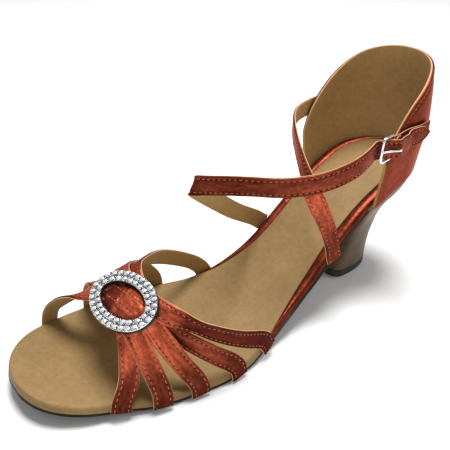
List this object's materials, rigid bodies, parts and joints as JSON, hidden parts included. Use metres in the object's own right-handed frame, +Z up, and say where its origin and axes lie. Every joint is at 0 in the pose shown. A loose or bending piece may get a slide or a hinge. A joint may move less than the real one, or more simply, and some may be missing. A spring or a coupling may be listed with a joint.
{
  "type": "ballroom dance shoe",
  "caption": "Women's open-toe ballroom dance sandal for the left foot: satin bands under an oval jewelled slide, closed heel counter, crossed ankle straps with a buckle and a flared heel.",
  "frame": {"origin": "centre of the footprint of the whole shoe, on the floor it stands on", "axes": "+Z up, -Y towards the toe, +Y towards the heel, +X towards the outer side of the left foot"},
  "size_m": [0.081, 0.22, 0.113],
  "materials": {
    "copper_satin": "woven satin with a soft sheen, copper red",
    "tan_lining": "smooth matt tan lining",
    "grey_suede": "napped grey-brown suede sole",
    "heel_cover": "olive-brown heel cover, half matt",
    "tip_rubber": "dark matt rubber",
    "silver_metal": "bright silver plate",
    "crystal": "clear faceted stones",
    "thread": "stitching thread, light copper"
  },
  "bodies": {
    "root": {"sock": "tan_lining", "insole_board": "copper_satin", "outsole": "grey_suede", "heel": "heel_cover", "heel_tip": "tip_rubber", "counter": "copper_satin", "vamp_straps": "copper_satin", "throat_slide": "silver_metal", "ankle_strap_inner": "copper_satin", "ankle_strap_outer": "copper_satin", "strap_buckle": "silver_metal", "buckle_tab": "copper_satin"}
  },
  "joints": []
}
